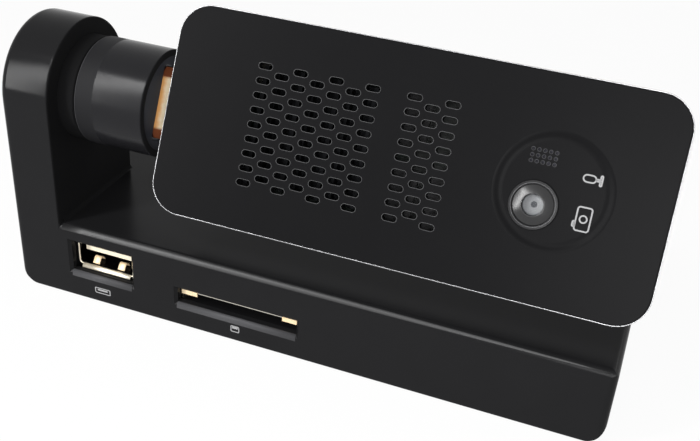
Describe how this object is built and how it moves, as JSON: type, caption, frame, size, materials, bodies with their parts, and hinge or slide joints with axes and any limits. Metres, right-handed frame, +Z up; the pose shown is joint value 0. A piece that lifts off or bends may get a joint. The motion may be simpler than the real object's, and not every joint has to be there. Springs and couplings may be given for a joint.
{
  "type": "stick computer on a swivel dock",
  "caption": "Stick computer with vented front plate, camera and microphone, plugged into a swivelling video socket on an L-shaped table dock with USB and memory card ports.",
  "frame": {"origin": "on the table at the centre of the dock's rubber pad, under the swivel's axis", "axes": "+X along the dock from the arm to the free end, -Y out of the port face, +Z up"},
  "size_m": [0.1241, 0.0383, 0.0623],
  "materials": {
    "dock_plastic": "fine moulded grain, black ABS",
    "cover_plastic": "moulded black ABS",
    "barrel_plastic": "satin black ABS",
    "plate_plastic": "fine soft-touch black",
    "bezel_plastic": "polished black",
    "black_nylon": "moulded black nylon",
    "cream_nylon": "moulded cream nylon",
    "wire_vinyl": "black vinyl sleeve",
    "chip_epoxy": "black epoxy",
    "circuit_board": "green solder mask",
    "gap_pad": "grey silicone",
    "pad_rubber": "fine ribbed rubber",
    "ceramic": "glazed ceramic",
    "screw_steel": "black oxide steel",
    "spring_steel": "bright spring steel",
    "tinned_sheet": "tin-plated sheet",
    "sink_aluminium": "bead-blasted aluminium",
    "gold_shell": "gold-plated brass",
    "gilt_contact": "gold-plated contacts",
    "sensor_glass": "sensor under glass",
    "lens_glass": "coated lens",
    "window_glass": "clear cover glass"
  },
  "bodies": {
    "dock": {"dock_shell": "dock_plastic", "dock_bottom": "cover_plastic", "arm_cover": "cover_plastic", "dock_screws": "screw_steel", "rubber_pad": "pad_rubber", "dock_board": "circuit_board", "usb_shell": "tinned_sheet", "usb_insulator": "cream_nylon", "usb_contacts": "gilt_contact", "sd_shell": "tinned_sheet", "sd_base": "black_nylon", "sd_contacts": "gilt_contact", "sd_clips": "gilt_contact", "hdmi_out_shell": "tinned_sheet", "hdmi_out_insulator": "black_nylon", "hdmi_out_contacts": "gilt_contact", "power_shell": "black_nylon", "power_pin": "tinned_sheet", "hub_chip": "chip_epoxy", "reader_chip": "chip_epoxy", "wire_header": "cream_nylon", "arm_wires": "wire_vinyl"},
    "swivel": {"swivel_barrel": "barrel_plastic", "friction_washer": "spring_steel", "retaining_ring": "spring_steel", "socket_shell": "tinned_sheet", "socket_insulator": "black_nylon", "socket_contacts": "gilt_contact", "swivel_wires": "wire_vinyl"},
    "stick": {"face_plate": "plate_plastic", "stick_back": "cover_plastic", "stick_screws": "screw_steel", "stick_board": "circuit_board", "soc_chip": "chip_epoxy", "memory_chips": "chip_epoxy", "flash_chip": "chip_epoxy", "power_chip": "chip_epoxy", "radio_can": "tinned_sheet", "antenna": "ceramic", "thermal_pad": "gap_pad", "heat_sink": "sink_aluminium", "camera_holder": "black_nylon", "image_sensor": "sensor_glass", "lens_barrel": "black_nylon", "lens_glass": "lens_glass", "lens_window": "window_glass", "lens_ring": "bezel_plastic", "microphone": "tinned_sheet", "plug_shell": "gold_shell", "plug_core": "black_nylon", "plug_contacts": "gilt_contact"}
  },
  "joints": [
    {"name": "swivel_tilt", "type": "hinge", "parent": "dock", "child": "swivel", "pos_m": [0, 0, 0.0418], "axis": [1, 0, 0], "range_deg": [-64, 45]},
    {"name": "stick_pull", "type": "slide", "parent": "swivel", "child": "stick", "axis": [1, 0, 0], "range_m": [0, 0.014]}
  ]
}
